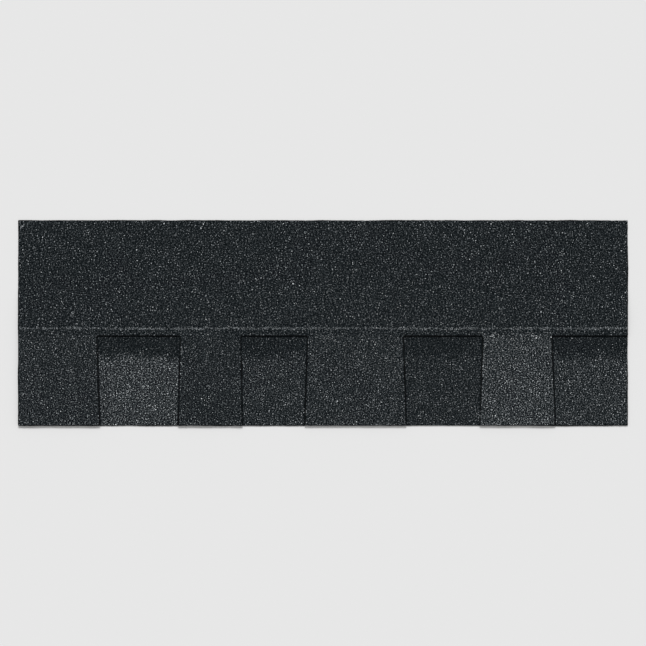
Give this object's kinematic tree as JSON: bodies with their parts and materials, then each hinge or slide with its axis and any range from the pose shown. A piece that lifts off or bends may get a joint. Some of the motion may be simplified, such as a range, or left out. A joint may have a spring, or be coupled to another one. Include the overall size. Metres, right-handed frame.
{
  "type": "laminated asphalt shingle",
  "caption": "Laminated asphalt roof shingle with flared teeth cut into its granule-surfaced top ply over a plain backer strip, lying flat and face up.",
  "frame": {"origin": "below the middle of the shingle, at the level that it rests on", "axes": "+X along the course, +Y up the roof from the butt edge to the top edge, +Z the weather side"},
  "size_m": [1, 0.3368, 0.0063],
  "materials": {
    "granule_surface": "matte",
    "backer_granules": "matte",
    "asphalt_adhesive": "satin",
    "sealant": "gloss",
    "release_film": "gloss"
  },
  "bodies": {
    "root": {"toothed_overlay": "granule_surface", "backer_strip": "backer_granules", "laminating_adhesive": "asphalt_adhesive", "sealant_dashes": "sealant", "release_film": "release_film"}
  },
  "joints": []
}
